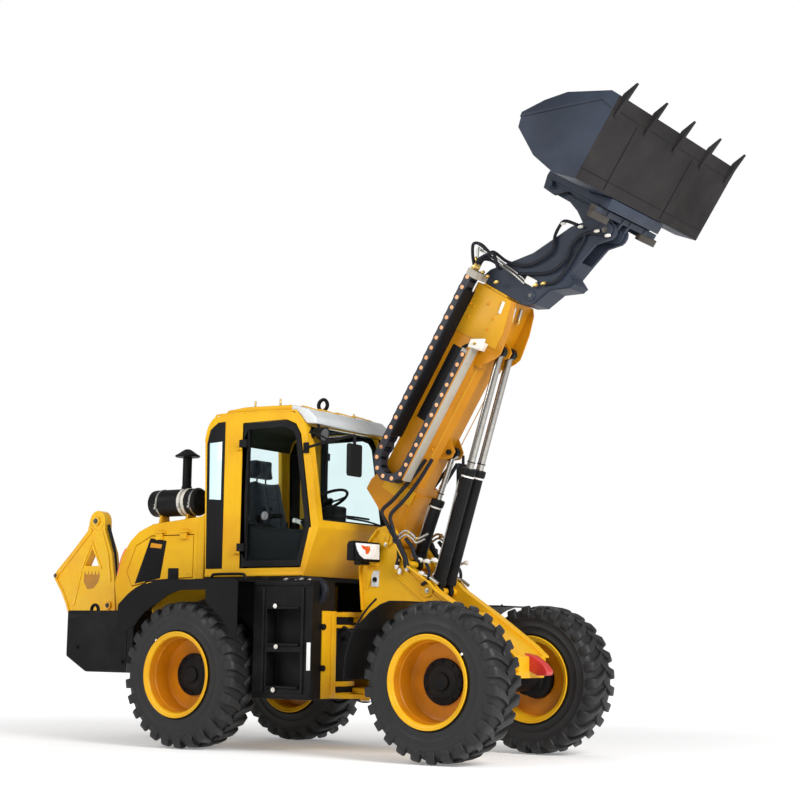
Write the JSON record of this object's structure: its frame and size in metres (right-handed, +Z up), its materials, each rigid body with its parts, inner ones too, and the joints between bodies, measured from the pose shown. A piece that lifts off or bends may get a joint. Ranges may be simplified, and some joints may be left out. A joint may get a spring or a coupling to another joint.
{
  "type": "telescopic loader",
  "caption": "Articulated telescopic wheel loader with a raised extending boom, an energy chain, a closed cab and a toothed bucket that tips.",
  "frame": {"origin": "on the floor, under the middle of the bounding box", "axes": "+X forwards towards the bucket, +Y to the driver's left, +Z up"},
  "size_m": [6.6282, 2.1, 4.8129],
  "materials": {
    "amber": "gloss paint",
    "black": "semi-gloss paint",
    "chrome": "polished",
    "glass": "clear",
    "grey": "satin paint",
    "lemon": "gloss paint",
    "slate": "satin paint",
    "tyre": "matt rubber"
  },
  "bodies": {
    "chassis": {"rear_frame": "amber", "rear_axle": "black", "counterweight": "black", "rear_linkage": "lemon", "engine_block": "grey", "engine_hood": "amber", "air_cleaner": "black", "rear_fender_right": "black", "rear_fender_left": "black", "side_tank_right": "black", "side_tank_left": "black", "cab_floor": "black", "cab_shell": "amber", "cab_roof": "grey", "windscreen": "glass", "rear_window": "glass", "seat": "slate", "steering_column": "black", "mirror_right": "black", "mirror_left": "black"},
    "front_chassis": {"front_frame": "amber", "front_axle": "black", "front_fender_right": "black", "front_fender_left": "black", "headlight_right": "black", "headlight_left": "black"},
    "boom": {"boom_outer": "amber", "energy_chain_loop": "slate", "energy_chain_run": "slate"},
    "boom_extension": {"boom_inner": "amber", "gooseneck": "slate", "chain_bracket": "grey"},
    "bucket_and_coupler": {"coupler": "slate", "bucket": "slate"},
    "level_barrel_body": {"level_barrel": "black"},
    "level_rod_body": {"level_rod": "chrome"},
    "tilt_barrel_body": {"tilt_barrel": "black"},
    "tilt_rod_body": {"tilt_rod": "chrome"},
    "right_cab_door": {"cab_door_right": "glass"},
    "right_hood_door": {"hood_door_right": "amber"},
    "rear_right_wheel": {"tyre_rear_right": "tyre", "rim_rear_right": "amber"},
    "front_right_wheel": {"tyre_front_right": "tyre", "rim_front_right": "amber"},
    "lift_right_barrel_body": {"lift_right_barrel": "black"},
    "lift_right_rod_body": {"lift_right_rod": "chrome"},
    "left_cab_door": {"cab_door_left": "glass"},
    "left_hood_door": {"hood_door_left": "amber"},
    "rear_left_wheel": {"tyre_rear_left": "tyre", "rim_rear_left": "amber"},
    "front_left_wheel": {"tyre_front_left": "tyre", "rim_front_left": "amber"},
    "lift_left_barrel_body": {"lift_left_barrel": "black"},
    "lift_left_rod_body": {"lift_left_rod": "chrome"}
  },
  "joints": [
    {"name": "articulation", "type": "hinge", "parent": "chassis", "child": "front_chassis", "pos_m": [0.32488, 0, 0.77], "axis": [0, 0, 1], "range_deg": [-35, 35]},
    {"name": "rear_right_wheel_spin", "type": "hinge", "parent": "chassis", "child": "rear_right_wheel", "pos_m": [-0.90212, -0.751, 0.595], "axis": [0, 1, 0], "continuous": true},
    {"name": "front_right_wheel_spin", "type": "hinge", "parent": "front_chassis", "child": "front_right_wheel", "pos_m": [1.55188, -0.751, 0.595], "axis": [0, 1, 0], "continuous": true},
    {"name": "rear_left_wheel_spin", "type": "hinge", "parent": "chassis", "child": "rear_left_wheel", "pos_m": [-0.90212, 0.751, 0.595], "axis": [0, 1, 0], "continuous": true},
    {"name": "front_left_wheel_spin", "type": "hinge", "parent": "front_chassis", "child": "front_left_wheel", "pos_m": [1.55188, 0.751, 0.595], "axis": [0, 1, 0], "continuous": true},
    {"name": "cab_door_right_hinge", "type": "hinge", "parent": "chassis", "child": "right_cab_door", "pos_m": [-0.58012, -0.582, 2], "axis": [0, 0, -1], "range_deg": [0, 80]},
    {"name": "hood_door_right_hinge", "type": "hinge", "parent": "chassis", "child": "right_hood_door", "pos_m": [-1.37512, -0.55, 1.795], "axis": [-1, 0, 0], "range_deg": [0, 60]},
    {"name": "cab_door_left_hinge", "type": "hinge", "parent": "chassis", "child": "left_cab_door", "pos_m": [-0.58012, 0.582, 2], "axis": [0, 0, 1], "range_deg": [0, 80]},
    {"name": "hood_door_left_hinge", "type": "hinge", "parent": "chassis", "child": "left_hood_door", "pos_m": [-1.37512, 0.55, 1.795], "axis": [1, 0, 0], "range_deg": [0, 60]},
    {"name": "boom_lift", "type": "hinge", "parent": "front_chassis", "child": "boom", "pos_m": [0.67488, 0, 1.72], "axis": [0, -1, 0], "range_deg": [-81, 0]},
    {"name": "telescope", "type": "slide", "parent": "boom", "child": "boom_extension", "axis": [0.527, 0, 0.8499], "range_m": [0, 1.2], "deforming": ["energy_chain_run"]},
    {"name": "bucket_tilt", "type": "hinge", "parent": "boom_extension", "child": "bucket_and_coupler", "pos_m": [2.60654, 0, 4.02512], "axis": [0, 1, 0], "range_deg": [-40, 95]},
    {"name": "lift_right_barrel_turn", "type": "hinge", "parent": "front_chassis", "child": "lift_right_barrel_body", "pos_m": [1.06988, -0.075, 1.285], "axis": [0, -1, 0], "range_deg": [-87.21, 0.1]},
    {"name": "lift_right_rod_slide", "type": "slide", "parent": "lift_right_barrel_body", "child": "lift_right_rod_body", "axis": [0.2948, 0, 0.9556], "range_m": [-0.74588, 0.001]},
    {"name": "lift_left_barrel_turn", "type": "hinge", "parent": "front_chassis", "child": "lift_left_barrel_body", "pos_m": [1.06988, 0.075, 1.285], "axis": [0, -1, 0], "range_deg": [-87.21, 0.1]},
    {"name": "lift_left_rod_slide", "type": "slide", "parent": "lift_left_barrel_body", "child": "lift_left_rod_body", "axis": [0.2948, 0, 0.9556], "range_m": [-0.74588, 0.001]},
    {"name": "level_barrel_turn", "type": "hinge", "parent": "front_chassis", "child": "level_barrel_body", "pos_m": [0.82488, 0, 1.5], "axis": [0, -1, 0], "range_deg": [-84.42, 0.1]},
    {"name": "level_rod_slide", "type": "slide", "parent": "level_barrel_body", "child": "level_rod_body", "axis": [0.3607, 0, 0.9327], "range_m": [-0.34397, 0.001]},
    {"name": "tilt_barrel_turn", "type": "hinge", "parent": "boom_extension", "child": "tilt_barrel_body", "pos_m": [1.94921, 0, 3.58551], "axis": [0, 1, 0], "range_deg": [-1.09, 2.44]},
    {"name": "tilt_rod_slide", "type": "slide", "parent": "tilt_barrel_body", "child": "tilt_rod_body", "axis": [0.7203, 0, 0.6937], "range_m": [-0.11193, 0.26447]}
  ],
  "couplings": [
    {"joint": "lift_right_barrel_turn", "follows": "boom_lift", "ratio": 1.0754},
    {"joint": "lift_right_rod_slide", "follows": "boom_lift", "m_per_rad": 0.5269},
    {"joint": "lift_left_barrel_turn", "follows": "boom_lift", "ratio": 1.0754},
    {"joint": "lift_left_rod_slide", "follows": "boom_lift", "m_per_rad": 0.5269},
    {"joint": "level_barrel_turn", "follows": "boom_lift", "ratio": 1.041},
    {"joint": "level_rod_slide", "follows": "boom_lift", "m_per_rad": 0.2426},
    {"joint": "tilt_barrel_turn", "follows": "bucket_tilt", "ratio": 0.02468},
    {"joint": "tilt_rod_slide", "follows": "bucket_tilt", "m_per_rad": 0.1589}
  ]
}
